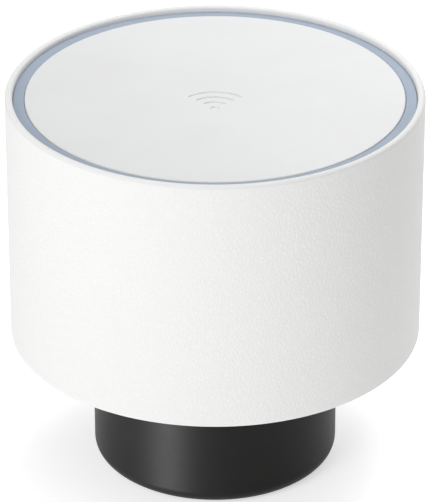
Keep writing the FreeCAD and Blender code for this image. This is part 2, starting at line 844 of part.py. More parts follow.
def pedestal():
    """The cup under the drum, with its port bay, screw bosses and board posts."""
    groove_in = foot_inner - 0.1
    groove_out = foot_outer + 0.1
    post_radius = 2.6
    stud_radius = 2.3
    stud_top = floor_top + ballast_thick - 0.3
    piece = Piece("pedestal")
    piece.revolve([
        (0, foot_proud), (groove_in, foot_proud), (groove_in, foot_thick),
        (groove_out, foot_thick), (groove_out, foot_proud),
        (base_radius, foot_proud), (base_radius, cover_low),
        (pedestal_inner, cover_low), (pedestal_inner, floor_top), (0, floor_top)])
    piece.soften(base_round, [(base_radius, foot_proud)])
    block = piece.sketch(lift=bay_low - panel_thick)
    draw_segment(block, base_radius - base_wall / 2, bay_inner)
    piece.pad(block, bay_high - bay_low + panel_thick * 2)
    masts = piece.sketch(lift=foot_thick)
    for x, y in MAST_PLACES:
        draw_circle(masts, x, y, mast_radius)
    piece.pad(masts, cover_low - foot_thick)
    posts = piece.sketch(lift=foot_thick)
    for x, y in PORT_SCREWS:
        draw_circle(posts, x, y, post_radius)
    piece.pad(posts, port_board_low - foot_thick)
    studs = piece.sketch(lift=foot_thick)
    for x in (ballast_hole, -ballast_hole):
        draw_circle(studs, x, 0, stud_radius)
    piece.pad(studs, stud_top - foot_thick)

    beyond = 45                 # well outside the pedestal
    post_pilot_deep = 6.5
    stud_pilot_deep = 5
    bay = piece.sketch(lift=bay_high)
    draw_outline(bay, rectangle(-beyond, beyond, bay_face, beyond))
    piece.pocket(bay, bay_high - bay_low)
    bores = piece.sketch()
    for x, y in MAST_PLACES:
        draw_circle(bores, x, y, mast_bore)
    piece.pocket(bores, mast_seat, reverse=True)
    holes = piece.sketch(lift=cover_low)
    for x, y in MAST_PLACES:
        draw_circle(holes, x, y, wide_hole)
    piece.pocket(holes, cover_low - mast_seat)
    pilots = piece.sketch(lift=port_board_low)
    for x, y in PORT_SCREWS:
        draw_circle(pilots, x, y, cup_pilot)
    piece.pocket(pilots, post_pilot_deep)
    stud_pilots = piece.sketch(lift=stud_top)
    for x in (ballast_hole, -ballast_hole):
        draw_circle(stud_pilots, x, 0, cup_pilot)
    piece.pocket(stud_pilots, stud_pilot_deep)

    inlet_hole = 4.5
    cap_gap = 0.25
    pinhole = 0.75
    windows = piece.sketch("XZ_Plane", lift=-bay_inner + 0.5)
    low = port_board_high - fit_gap
    high = port_board_high + lan_high + fit_gap
    half = lan_width / 2 + fit_gap
    for side in (-1, 1):
        middle = lan_spacing * side / 2
        draw_outline(windows, rectangle(middle - half, middle + half, low, high))
    draw_circle(windows, power_x, port_board_high + power_rise, inlet_hole)
    draw_circle(windows, pair_x, port_board_high + pair_rise, pair_radius + cap_gap)
    draw_circle(windows, reset_x, port_board_high + reset_rise, pinhole)
    piece.pocket(windows, panel_thick + 1)


def foot_and_ballast():
    """The ring of rubber under the pedestal and the steel plate that steadies it."""
    foot_edge = 0.4
    stud_hole = 2.6
    ballast_edge = 0.5
    foot = Piece("rubber_foot")
    foot.revolve(rectangle(foot_inner, foot_outer, 0, foot_thick))
    foot.soften(foot_edge, [(foot_inner, 0), (foot_outer, 0)])
    ballast = Piece("ballast_plate")
    plate = ballast.sketch(lift=floor_top)
    draw_circle(plate, 0, 0, ballast_radius)
    for x in (ballast_hole, -ballast_hole):
        draw_circle(plate, x, 0, stud_hole)
    ballast.pad(plate, ballast_thick)
    ballast.soften(ballast_edge, [(ballast_radius, floor_top + ballast_thick)])


def port_board():
    """The input board, its outline stepped in beside the pedestal's bosses."""
    front = -13
    narrow = 22
    step = 5.4
    wide_right = 28.4
    wide_left = -27.2
    rear = bay_inner - 0.4
    screw_hole = 1.2
    piece = Piece("port_board")
    outline = piece.sketch(lift=port_board_low)
    draw_outline(outline, [
        (-narrow, front), (narrow, front), (narrow, step), (wide_right, step),
        (wide_right, rear), (wide_left, rear), (wide_left, step), (-narrow, step)])
    for x, y in PORT_SCREWS:
        draw_circle(outline, x, y, screw_hole)
    piece.pad(outline, board_thick)
    half = 5
    magnetics = [make_box((x - half, -11.4, port_board_high),
                          (x + half, -4.4, port_board_high + 5)) for x in (-11.6, 11.6)]
    node("line_transformers", group(magnetics))


def network_jack(side, name):
    """One network jack: metal shell, moulded insert and eight spring contacts."""
    middle = lan_spacing * side / 2
    half = lan_width / 2
    rear = jack_face - lan_deep
    low = port_board_high
    high = low + lan_high
    shell = make_box((middle - half, rear, low), (middle + half, jack_face, high))
    room = make_box((middle - half + lan_skin, rear + lan_skin, low + lan_skin),
                    (middle + half - lan_skin, jack_face + 1, high - lan_skin))
    node(f"network_shell_{name}", cut(shell, [room]))

    past = 1                    # past the face, for a clean cut
    latch_half = 3.1
    latch_deep = 2
    mouth_low = low + 3
    mouth_high = mouth_low + lan_mouth_high
    mouth_half = lan_mouth_wide / 2
    mouth_rear = jack_face - lan_mouth_deep
    front = jack_face - 0.3
    block = make_box((middle - half + lan_skin, rear + lan_skin, low + lan_skin),
                     (middle + half - lan_skin, front, high - lan_skin))
    mouth = make_box((middle - mouth_half, mouth_rear, mouth_low),
                     (middle + mouth_half, jack_face + past, mouth_high))
    latch = make_box((middle - latch_half, mouth_rear, mouth_low - latch_deep),
                     (middle + latch_half, jack_face + past, mouth_low + past))
    node(f"network_insert_{name}", cut(block, [mouth, latch]))

    pitch = 1.02
    count = 8
    wire_wide = 0.5
    wire_thick = 0.4
    wire_start = front - 0.8
    wire_bend = front - 2.4
    wire_end = mouth_rear + 1.2
    wire_drop = 1.1
    first = middle - pitch * (count - 1) / 2 - wire_wide / 2
    contacts = Piece(f"network_contacts_{name}")
    wire = contacts.sketch("YZ_Plane", lift=first)
    draw_outline(wire, [
        (wire_start, mouth_high), (wire_bend, mouth_high),
        (wire_end, mouth_high - wire_drop), (wire_end, mouth_high - wire_drop - wire_thick),
        (wire_bend, mouth_high - wire_thick), (wire_start, mouth_high - wire_thick)])
    pad = contacts.pad(wire, wire_wide)
    pattern = contacts.body.newObject("PartDesign::LinearPattern", "LinearPattern")
    pattern.Originals = [pad]
    pattern.Direction = (origin_part(contacts.body, "X_Axis"), [""])
    pattern.Length = pitch * (count - 1)
    pattern.Occurrences = count
    contacts.body.Tip = pattern


def power_jack():
    """The round power inlet and its centre pin."""
    level = port_board_high + power_rise
    body_half = 4.5
    body_high = 11
    body_rear = 4.4
    collar_radius = 4.2
    collar_rear = bay_inner - 0.2
    bore_deep = 10
    bore_rear = jack_face - bore_deep
    pin_long = 8.8
    block = make_box((power_x - body_half, body_rear, port_board_high),
                     (power_x + body_half, collar_rear, port_board_high + body_high))
    collar = make_rod(collar_radius, jack_face - collar_rear, (power_x, collar_rear, level), TO_REAR)
    bore = make_rod(power_bore, bore_deep + 1, (power_x, bore_rear, level), TO_REAR)
    node("power_jack", cut(fuse([block, collar]), [bore]))
    pin = make_rod(power_pin_radius, pin_long, (power_x, bore_rear, level), TO_REAR)
    node("power_pin", pin)


def buttons():
    """The pairing button and the reset plunger, each with its tact switch."""
    well_cut = 3                # past the switch's face, for a clean cut
    level = port_board_high + pair_rise
    cap_proud = 0.6
    flange_thick = 1
    flange_rear = bay_inner - 1.1
    cap_long = bay_face + cap_proud - flange_rear
    cap = make_rod(pair_radius, cap_long, (pair_x, flange_rear, level), TO_REAR)
    flange = make_rod(pair_radius + 0.9, flange_thick, (pair_x, flange_rear, level), TO_REAR)
    node("pair_button", fuse([cap, flange]))
    body_half = 3
    body_deep = 3.5
    switch_face = bay_inner - 3.2
    body = make_box((pair_x - body_half, switch_face - body_deep, port_board_high),
                    (pair_x + body_half, switch_face, level + body_half))
    well = make_rod(1.75, well_cut, (pair_x, switch_face - 2.4, level), TO_REAR)
    node("pair_switch", cut(body, [well]))
    plunger_rear = switch_face - 1.6
    plunger = make_rod(1.6, flange_rear - plunger_rear, (pair_x, plunger_rear, level), TO_REAR)
    node("pair_plunger", plunger)

    level = port_board_high + reset_rise
    body_half = 1.8
    body_deep = 3
    switch_face = bay_inner - 2
    body = make_box((reset_x - body_half, switch_face - body_deep, port_board_high),
                    (reset_x + body_half, switch_face, port_board_high + body_half * 2))
    well = make_rod(0.85, well_cut, (reset_x, switch_face - 1.7, level), TO_REAR)
    node("reset_switch", cut(body, [well]))
    plunger = make_rod(0.7, 2.1, (reset_x, switch_face - 1.2, level), TO_REAR)
    node("reset_plunger", plunger)


def ribbon_cable():
    """The flat cable from the input board up to the main board, with a socket at each end."""
    half = 5.0
    thick = 0.3
    line = -9.0                 # where the sockets stand, in front of the centre
    slack = 5                   # how far the middle bows to the front
    bow_half = 10
    socket_high = 2.6
    socket_end = half + 1
    socket_half = 1.5
    low = port_board_high.number + socket_high
    high = main_board_low.number - socket_high
    sockets = [make_box((-socket_end, line - socket_half, start),
                        (socket_end, line + socket_half, start + socket_high))
               for start in (port_board_high, main_board_low - socket_high)]
    node("ribbon_sockets", group(sockets))
    middle = (low + high) / 2
    route = [Vector(0, line, low), Vector(0, line, middle - bow_half),
             Vector(0, line - slack, middle), Vector(0, line, middle + bow_half),
             Vector(0, line, high)]
    edge = [Vector(-half, line - thick / 2, low), Vector(half, line - thick / 2, low),
            Vector(half, line + thick / 2, low), Vector(-half, line + thick / 2, low)]
    section = Part.makePolygon(edge + edge[:1])
    sweep("ribbon_cable", route, section, 2 * half * thick)


# --- Fasteners ----------------------------------------------------------------

def fasteners():
    """Every group of screws, each head and shank a (radius, length)."""
    sink_seat = sink_low + sink_base
    cover_seat = cover_low + cover_sink
    ballast_seat = floor_top + ballast_thick
    studs = [(ballast_hole, 0), (-ballast_hole, 0)]
    corners = corners_of_four(column_reach)
    for name, places, seat, head, shank, head_up in (
            ("top_frame_screws", corners, frame_high, (2.8, 1.6), (1.25, 11), True),
            ("heatsink_screws", four_posts(), sink_seat, (2.4, 1.8), (1.2, 12.5), True),
            ("cover_screws", corners, cover_seat, (2.5, 1.4), (1.25, 9), False),
            ("pedestal_screws", MAST_PLACES, mast_seat, (2.9, 2.4), (1.45, 16), False),
            ("port_board_screws", PORT_SCREWS, port_board_high, (1.9, 1.3), (1.0, 7), True),
            ("ballast_screws", studs, ballast_seat, (3.4, 1.2), (1.0, 4.8), True)):
        node(name, group([make_screw(x, y, seat, head, shank, head_up) for x, y in places]))


# --- Build, check and write ---------------------------------------------------

def build():
    """Make every piece, from the table up."""
    foot_and_ballast()
    pedestal()
    port_board()
    network_jack(-1, "left")
    network_jack(1, "right")
    power_jack()
    buttons()
    ribbon_cable()
    underside_cover()
    chassis()
    outer_sleeve()
    main_board()
    chips()
    board_spacers()
    heatsink()
    antennas()
    top_frame()
    led_board()
    leds()
    led_cable()
    light_baffle()
    light_ring()
    top_disc()
    fasteners()
    doc.recompute()


def check():
    """Stop if any object has failed or any piece is not a sound solid."""
    for thing in doc.Objects:
        if "Invalid" in thing.State or "Error" in thing.State:
            raise ValueError(f"{thing.Label} failed: {thing.State}")
    for name, thing in nodes.items():
        shape = thing.Shape
        if shape.isNull() or not shape.isValid() or not shape.Solids:
            raise ValueError(f"{name} is not a sound solid")


def write():
    """Write each piece to its own STEP file."""
    os.makedirs("parts", exist_ok=True)
    for name, thing in nodes.items():
        thing.Shape.exportStep(f"parts/{name}.step")
    print(len(nodes), "pieces written")


build()
check()
write()
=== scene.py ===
import math

import bmesh
import bpy
from mathutils import Matrix, Vector


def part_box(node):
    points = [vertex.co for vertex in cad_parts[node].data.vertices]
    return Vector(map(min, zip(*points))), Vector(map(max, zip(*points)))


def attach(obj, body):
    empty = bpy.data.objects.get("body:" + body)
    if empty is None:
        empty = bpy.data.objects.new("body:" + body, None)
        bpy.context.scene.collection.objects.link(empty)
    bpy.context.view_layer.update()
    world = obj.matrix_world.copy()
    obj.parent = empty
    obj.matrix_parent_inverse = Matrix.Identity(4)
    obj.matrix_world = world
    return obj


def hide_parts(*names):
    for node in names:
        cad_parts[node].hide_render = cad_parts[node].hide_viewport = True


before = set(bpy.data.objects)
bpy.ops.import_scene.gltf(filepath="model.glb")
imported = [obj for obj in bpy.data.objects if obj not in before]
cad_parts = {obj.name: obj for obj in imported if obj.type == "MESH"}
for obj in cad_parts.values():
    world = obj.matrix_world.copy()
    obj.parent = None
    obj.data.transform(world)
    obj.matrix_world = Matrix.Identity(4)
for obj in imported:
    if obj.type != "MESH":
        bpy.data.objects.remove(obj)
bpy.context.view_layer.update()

MM = 0.001


# --- Studio -------------------------------------------------------------------
# The camera looks down on the front of the node through a long lens. A tall soft box
# stands at the front left, a wide one hangs overhead and a small one behind at the right,
# over a plain pale floor.

LENS = 271.6
DISTANCE = 1.1028
ELEVATION = math.radians(28.14)
AIM = Vector((0.12, 0, 65.06)) * MM
LIT_POINT = Vector((0, 0, 80)) * MM
FLOOR_HALF = 8
FLOOR_GAP = 0.1 * MM

toward = Vector((0, -math.cos(ELEVATION), math.sin(ELEVATION)))
camera_data = bpy.data.cameras.new("camera")
camera_data.lens = LENS
camera_data.sensor_width = 36
camera_data.clip_start = 0.05
camera_data.clip_end = 50
camera = bpy.data.objects.new("camera", camera_data)
camera.location = AIM + toward * DISTANCE
camera.rotation_euler = (-toward).to_track_quat("-Z", "Y").to_euler()
bpy.context.collection.objects.link(camera)
bpy.context.scene.camera = camera
bpy.context.scene.view_settings.view_transform = "Standard"


def soft_box(name, azimuth, elevation, distance, width, height, power):
    """An area light that faces the drum, placed by its direction from there."""
    turn = math.radians(azimuth)
    rise = math.radians(elevation)
    way = Vector((math.sin(turn) * math.cos(rise), -math.cos(turn) * math.cos(rise),
                  math.sin(rise)))
    light = bpy.data.lights.new(name, "AREA")
    light.shape = "RECTANGLE"
    light.size = width
    light.size_y = height
    light.energy = power
    box = bpy.data.objects.new(name, light)
    box.location = LIT_POINT + way * distance
    box.rotation_euler = (-way).to_track_quat("-Z", "Y").to_euler()
    bpy.context.collection.objects.link(box)


soft_box("key_light", azimuth=-37, elevation=20, distance=1.4,
         width=0.6, height=0.9, power=8.7)
soft_box("back_light", azimuth=155, elevation=50, distance=0.48,
         width=0.35, height=0.35, power=1.25)
soft_box("top_light", azimuth=-30, elevation=80, distance=1.6,
         width=1.2, height=1.2, power=2.9)

world = bpy.data.worlds.new("studio")
world.use_nodes = True
sky = world.node_tree.nodes["Background"]
sky.inputs["Color"].default_value = (1, 1, 1, 1)
sky.inputs["Strength"].default_value = 0.39
bpy.context.scene.world = world

floor_shape = bmesh.new()
bmesh.ops.create_grid(floor_shape, x_segments=1, y_segments=1, size=FLOOR_HALF)
floor_mesh = bpy.data.meshes.new("floor")
floor_shape.to_mesh(floor_mesh)
floor_shape.free()
floor = bpy.data.objects.new("floor", floor_mesh)
floor.location = (0, 0, -FLOOR_GAP)
bpy.context.collection.objects.link(floor)
floor_paint = bpy.data.materials.new("floor_paint")
floor_paint.use_nodes = True
floor_shader = floor_paint.node_tree.nodes["Principled BSDF"]
floor_shader.inputs["Base Color"].default_value = (0.9, 0.9, 0.9, 1)
floor_shader.inputs["Roughness"].default_value = 0.9
floor_shader.inputs["Specular IOR Level"].default_value = 0.1
floor_shader.inputs["Emission Color"].default_value = (1, 1, 1, 1)
floor_shader.inputs["Emission Strength"].default_value = 0.54
floor_mesh.materials.append(floor_paint)


# --- Rubber foot --------------------------------------------------------------
# A ring of soft dark rubber, stuck in a groove under the pedestal. Two shallow grooves
# round its underside keep it from sliding.

def make_material(name, colour, roughness, metallic=0.0, **sockets):
    """A material whose even values stand on the shader's own sockets."""
    material = bpy.data.materials.new(name)
    material.use_nodes = True
    shader = material.node_tree.nodes["Principled BSDF"]
    shader.inputs["Base Color"].default_value = (*colour, 1)
    shader.inputs["Roughness"].default_value = roughness
    shader.inputs["Metallic"].default_value = metallic
    for socket, value in sockets.items():
        shader.inputs[socket.replace("_", " ")].default_value = value
    return material


def link_input(material, item, key, value):
    """Set one input of a node: a plain value, or another node's output to link."""
    if isinstance(value, bpy.types.NodeSocket):
        material.node_tree.links.new(value, item.inputs[key])
    else:
        item.inputs[key].default_value = value


def add_node(material, kind, settings=None, **inputs):
    """A new shader node with its own settings and inputs."""
    item = material.node_tree.nodes.new("ShaderNode" + kind)
    for key, value in (settings or {}).items():
        setattr(item, key, value)
    for key, value in inputs.items():
        link_input(material, item, key.replace("_", " "), value)
    return item


def calculate(material, operation, *values):
    """The result of one Math node."""
    item = add_node(material, "Math", {"operation": operation})
    for index, value in enumerate(values):
        link_input(material, item, index, value)
    return item.outputs[0]


def spread(material, value, low, high, to_low=0.0, to_high=1.0):
    """Map a value from one span to another, smoothly at both ends."""
    item = add_node(material, "MapRange", {"interpolation_type": "SMOOTHSTEP"}, Value=value)
    limits = {"From Min": low, "From Max": high, "To Min": to_low, "To Max": to_high}
    for key, number in limits.items():
        item.inputs[key].default_value = number
    return item.outputs["Result"]


def object_place(material, stretch=(1, 1, 1)):
    """Object coordinates, stretched along the piece's own axes."""
    spot = add_node(material, "TexCoord").outputs["Object"]
    mapping = add_node(material, "Mapping", Vector=spot)
    mapping.inputs["Scale"].default_value = stretch
    return mapping.outputs["Vector"]


NOISE_LOW = 0.3
NOISE_HIGH = 0.7


def noise_at(material, place, scale, detail=4.0):
    """Noise that stays for the most part between NOISE_LOW and NOISE_HIGH."""
    noise = add_node(material, "TexNoise", Vector=place, Scale=float(scale), Detail=detail)
    return noise.outputs["Fac"]


def set_colour(material, value, low_colour, high_colour):
    """Let a value from 0 to 1 blend the base colour between two tones."""
    ramp = add_node(material, "ValToRGB", Fac=value)
    ramp.color_ramp.elements[0].color = (*low_colour, 1)
    ramp.color_ramp.elements[1].color = (*high_colour, 1)
    shader = material.node_tree.nodes["Principled BSDF"]
    material.node_tree.links.new(ramp.outputs["Color"], shader.inputs["Base Color"])


def set_roughness(material, value):
    """Link a value to the roughness."""
    shader = material.node_tree.nodes["Principled BSDF"]
    material.node_tree.links.new(value, shader.inputs["Roughness"])


def add_bump(material, height, depth):
    """Raise the surface by a height from 0 to 1 times a depth; bumps stack."""
    shader = material.node_tree.nodes["Principled BSDF"]
    earlier = shader.inputs["Normal"].links
    bump = add_node(material, "Bump", Height=height, Distance=depth)
    if earlier:
        material.node_tree.links.new(earlier[0].from_socket, bump.inputs["Normal"])
    material.node_tree.links.new(bump.outputs["Normal"], shader.inputs["Normal"])


def tinted(colour, share):
    """A lighter or darker tone of a colour."""
    return tuple(min(1.0, tone * share) for tone in colour)


def moulded(name, colour, roughness, drift=0.06, cloud=0.05, spark=2600, depth=0.02, **sockets):
    """Moulded plastic or rubber: a faint drift of tone and gloss, and a fine spark texture."""
    material = make_material(name, colour, roughness, **sockets)
    place = object_place(material)
    tone = noise_at(material, place, scale=45)
    set_colour(material, spread(material, tone, NOISE_LOW, NOISE_HIGH),
               tinted(colour, 1 - drift), tinted(colour, 1 + drift))
    gloss = noise_at(material, place, scale=320, detail=6.0)
    set_roughness(material, spread(material, gloss, NOISE_LOW, NOISE_HIGH,
                                   roughness - cloud, roughness + cloud))
    add_bump(material, noise_at(material, place, spark, detail=3.0), depth * MM)
    return material


WELD = 0.001 * MM
HAIR = 0.002 * MM


def turn_outline(corners, steps=256):
    """Turn a closed outline of (radius, height) corners about Z."""
    shape = bmesh.new()
    verts = [shape.verts.new((radius, 0, height)) for radius, height in corners]
    edges = []
    for start, finish in zip(verts, verts[1:] + verts[:1]):
        if start.co.x > 0 or finish.co.x > 0:
            edges.append(shape.edges.new((start, finish)))
    bmesh.ops.spin(shape, geom=verts + edges, cent=(0, 0, 0), axis=(0, 0, 1),
                   angle=math.tau, steps=steps, use_merge=True)
    bmesh.ops.remove_doubles(shape, verts=shape.verts, dist=WELD)
    bmesh.ops.recalc_face_normals(shape, faces=shape.faces)
    return shape


def near(value, target, reach=HAIR):
    """Whether a length is within a hair of another."""
    return abs(value - target) < reach


def round_edges(shape, edges, width, segments):
    """Round some edges of a shape."""
    bmesh.ops.bevel(shape, geom=edges, offset=width, offset_type="OFFSET", segments=segments,
                    profile=0.5, affect="EDGES", material=-1, clamp_overlap=False)


def round_rings(shape, spots, width, segments=4):
    """Round the circular edges at these (radius, height) spots."""
    for radius, height in spots:
        edges = [edge for edge in shape.edges
                 if all(near(vert.co.xy.length, radius) and near(vert.co.z, height)
                        for vert in edge.verts)]
        round_edges(shape, edges, width, segments)


def publish(shape, name, material, slot, *replaced, body="housing", sharp=35, bevel=0):
    """Make a shape a finished piece: its finish, its body and the node it stands for."""
    bmesh.ops.remove_doubles(shape, verts=shape.verts, dist=WELD / 10)
    bmesh.ops.recalc_face_normals(shape, faces=shape.faces)
    mesh = bpy.data.meshes.new(name)
    shape.to_mesh(mesh)
    shape.free()
    mesh.materials.append(material)
    mesh.shade_smooth()
    mesh.set_sharp_from_angle(angle=math.radians(sharp))
    piece = bpy.data.objects.new(name, mesh)
    bpy.context.collection.objects.link(piece)
    if bevel:
        ease = piece.modifiers.new("ease", "BEVEL")
        ease.width = bevel
        ease.segments = 2
        ease.limit_method = "ANGLE"
        ease.angle_limit = math.radians(40)
    weigh = piece.modifiers.new("weigh", "WEIGHTED_NORMAL")
    weigh.keep_sharp = True
    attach(piece, body)
    if replaced:
        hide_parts(*replaced)
    return piece


def outer_radius(node):
    """The radius of a round node, inside its box on every side."""
    low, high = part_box(node)
    return min(high.x, -low.x, high.y, -low.y)


foot_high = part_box("rubber_foot")[1].z
foot_outer = outer_radius("rubber_foot")
foot_width = 7.4 * MM
foot_inner = foot_outer - foot_width
foot_round = 0.4 * MM
grip_depth = 0.35 * MM
grip_spans = ((1.9 * MM, 2.7 * MM), (4.7 * MM, 5.5 * MM))
foot_outline = [(foot_outer, 0), (foot_outer, foot_high),
                (foot_inner, foot_high), (foot_inner, 0)]
for start, finish in grip_spans:
    foot_outline += [(foot_inner + start, 0), (foot_inner + start, grip_depth),
                     (foot_inner + finish, grip_depth), (foot_inner + finish, 0)]
foot = turn_outline(foot_outline)
round_rings(foot, [(foot_outer, 0), (foot_inner, 0)], foot_round)
foot_rubber = moulded("foot_rubber", (0.022, 0.022, 0.023), 0.78, drift=0.12,
                      spark=1800, depth=0.05)
publish(foot, "foot_ring", foot_rubber, "foot_rubber", "rubber_foot")


# --- Pedestal -----------------------------------------------------------------
# A black cup moulded in one piece, satin outside with a very fine texture. Its back is
# cut away over a flat port panel, and three deep bores take the screws into the drum.

def add_block(shape, low, high):
    """Add a box between two corners."""
    low = Vector(low)
    high = Vector(high)
    spot = Matrix.Translation((low + high) / 2) @ Matrix.Diagonal((*(high - low), 1))
    bmesh.ops.create_cube(shape, size=1, matrix=spot)


def add_rod(shape, radius, start, finish, segments=64):
    """Add a round rod from one point to another."""
    way = Vector(finish) - Vector(start)
    spin = way.to_track_quat("Z", "Y").to_matrix().to_4x4()
    middle = Matrix.Translation((Vector(start) + Vector(finish)) / 2)
    bmesh.ops.create_cone(shape, cap_ends=True, segments=segments, radius1=radius,
                          radius2=radius, depth=way.length, matrix=middle @ spin)


def gather(shape, part, spot=(0, 0, 0), degrees=0):
    """Move a part, turn it about Z, and add it to a shape."""
    turn = Matrix.Rotation(math.radians(degrees), 3, "Z")
    bmesh.ops.translate(part, verts=part.verts, vec=spot)
    bmesh.ops.rotate(part, verts=part.verts, matrix=turn)
    mesh = bpy.data.meshes.new("part")
    part.to_mesh(mesh)
    part.free()
    shape.from_mesh(mesh)
    bpy.data.meshes.remove(mesh)


def mend(shape):
    """Merge a shape's doubles and make its flat faces whole."""
    bmesh.ops.remove_doubles(shape, verts=shape.verts, dist=WELD)
    bmesh.ops.dissolve_limit(shape, angle_limit=math.radians(0.2), verts=shape.verts,
                             edges=shape.edges, use_dissolve_boundaries=False)


def combined(shape, tool, operation):
    """Run one exact boolean on two shapes and give back the result."""
    items = []
    for source in (shape, tool):
        mesh = bpy.data.meshes.new("raw")
        source.to_mesh(mesh)
        source.free()
        item = bpy.data.objects.new("raw", mesh)
        bpy.context.collection.objects.link(item)
        items.append(item)
    boolean = items[0].modifiers.new("boolean", "BOOLEAN")
    boolean.object = items[1]
    boolean.operation = operation
    boolean.solver = "EXACT"
    bpy.context.view_layer.update()
    result = bmesh.new()
    result.from_object(items[0], bpy.context.evaluated_depsgraph_get())
    for item in items:
        mesh = item.data
        bpy.data.objects.remove(item)
        bpy.data.meshes.remove(mesh)
    mend(result)
    return result


def sharp_edges(shape, chosen, angle=40):
    """The sharp edges whose two ends are both where chosen(point) says."""
    return [edge for edge in shape.edges
            if edge.calc_face_angle(0) > math.radians(angle)
            and all(chosen(vert.co) for vert in edge.verts)]


cup_low, cup_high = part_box("pedestal")
cup_radius = outer_radius("pedestal")
cup_round = 4.2 * MM
cup_wall = 2.2 * MM
cup_inner = cup_radius - cup_wall
cup_base = 2.4 * MM
cup_floor = cup_low.z + cup_base
foot_gap = 0.1 * MM
groove_inner = foot_inner - foot_gap
groove_outer = foot_outer + foot_gap
cup = turn_outline([
    (0, cup_low.z), (groove_inner, cup_low.z), (groove_inner, foot_high),
    (groove_outer, foot_high), (groove_outer, cup_low.z), (cup_radius, cup_low.z),
    (cup_radius, cup_high.z), (cup_inner, cup_high.z), (cup_inner, cup_floor), (0, cup_floor)])
round_rings(cup, [(cup_radius, cup_low.z)], cup_round, segments=10)

bay_face = 19 * MM
bay_low = 9 * MM
bay_high = 30 * MM
panel = 2 * MM
beyond = 50 * MM
block = bmesh.new()
add_rod(block, (cup_radius + cup_inner) / 2, (0, 0, bay_low - panel),
        (0, 0, bay_high + panel), segments=256)
half = bmesh.new()
add_block(half, (-beyond, bay_face - panel, 0), (beyond, beyond, beyond))
cup = combined(cup, combined(block, half, "INTERSECT"), "UNION")

mast_spots = [(27 * MM, 0), (0, -27 * MM), (-27 * MM, 0)]
port_post_spots = [(19.5 * MM, -9.5 * MM), (-19.5 * MM, -9.5 * MM), (24.3 * MM, 7.8 * MM)]
stud_spots = [(11 * MM, 0), (-11 * MM, 0)]
mast_radius = 4.3 * MM
port_post_radius = 2.6 * MM
stud_radius = 2.3 * MM
stud_drop = 0.3 * MM
stud_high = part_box("ballast_plate")[1].z - stud_drop
port_board_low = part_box("port_board")[0].z
solids = bmesh.new()
for x, y in mast_spots:
    add_rod(solids, mast_radius, (x, y, foot_high), (x, y, cup_high.z))
for x, y in port_post_spots:
    add_rod(solids, port_post_radius, (x, y, foot_high), (x, y, port_board_low))
for x, y in stud_spots:
    add_rod(solids, stud_radius, (x, y, foot_high), (x, y, stud_high))
cup = combined(cup, solids, "UNION")

mast_seat = 34.2 * MM
head_bore = 3.2 * MM
shank_bore = 1.7 * MM
pilot_bore = 1.05 * MM
pilot_depth = 6.5 * MM
past = 1 * MM
bore_high = cup_high.z + past
bores = bmesh.new()
add_block(bores, (-beyond, bay_face, bay_low), (beyond, beyond, bay_high))
for x, y in mast_spots:
    bore = turn_outline([(0, -past), (head_bore, -past), (head_bore, mast_seat),
                         (shank_bore, mast_seat), (shank_bore, bore_high), (0, bore_high)],
                        steps=64)
    gather(bores, bore, (x, y, 0))
for x, y in port_post_spots:
    add_rod(bores, pilot_bore, (x, y, port_board_low - pilot_depth),
            (x, y, port_board_low + past))
cup = combined(cup, bores, "DIFFERENCE")

socket_gap = 0.3 * MM
hole_radii = {"power_pin": 4.5 * MM, "pair_button": 3.05 * MM, "reset_plunger": 0.75 * MM}
hole_start = bay_face - panel - past
hole_end = bay_face + past
holes = bmesh.new()
for name in ("network_shell_left", "network_shell_right"):
    low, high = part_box(name)
    add_block(holes, (low.x - socket_gap, hole_start, low.z - socket_gap),
              (high.x + socket_gap, hole_end, high.z + socket_gap))
for name, radius in hole_radii.items():
    low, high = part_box(name)
    x, z = (low.x + high.x) / 2, (low.z + high.z) / 2
    add_rod(holes, radius, (x, hole_start, z), (x, hole_end, z))
cup = combined(cup, holes, "DIFFERENCE")

bay_round = 0.5 * MM
bay_edges = sharp_edges(cup, lambda spot: near(spot.xy.length, cup_radius, 10 * HAIR)
                        and spot.y > bay_face - HAIR
                        and bay_low - HAIR < spot.z < bay_high + HAIR)
round_edges(cup, bay_edges, bay_round, segments=3)
hole_round = 0.2 * MM
holes_half = 27.5 * MM
holes_low = 11.5 * MM
holes_high = 27.5 * MM
hole_edges = sharp_edges(cup, lambda spot: near(spot.y, bay_face)
                         and abs(spot.x) < holes_half and holes_low < spot.z < holes_high)
round_edges(cup, hole_edges, hole_round, segments=2)

pedestal_black = moulded("pedestal_black", (0.0045, 0.0045, 0.0043), 0.46, drift=0.1,
                         cloud=0.01, spark=3200, depth=0.008, Specular_IOR_Level=0.17)
pedestal = publish(cup, "pedestal_cup", pedestal_black, "pedestal_black", "pedestal")

# A narrow strip light, low at the front left, draws a soft upright sheen on the black cup
# alone, and the floor doesn't block it.
soft_box("sheen_light", azimuth=-43.5, elevation=-24, distance=1.1,
         width=0.24, height=0.4, power=12.4)
sheen_takers = bpy.data.collections.new("sheen_takers")
sheen_takers.objects.link(pedestal)
sheen_linking = bpy.data.objects["sheen_light"].light_linking
sheen_linking.receiver_collection = sheen_takers
sheen_linking.blocker_collection = sheen_takers


# --- Ballast ------------------------------------------------------------------
# A zinc-plated steel disc in the foot of the pedestal gives the tall drum a low centre
# of gravity. Two screws hold it on studs.

def copied(node):
    """A shape like a CAD node's, its triangles merged."""
    shape = bmesh.new()
    shape.from_mesh(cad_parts[node].data)
    mend(shape)
    return shape


def ease(node, material, slot, width=0.15, body="housing"):
    """Stand a copy with softened edges, width millimetres wide, in for a CAD node."""
    return publish(copied(node), node + "_eased", material, slot, node, body=body,
                   bevel=width * MM)


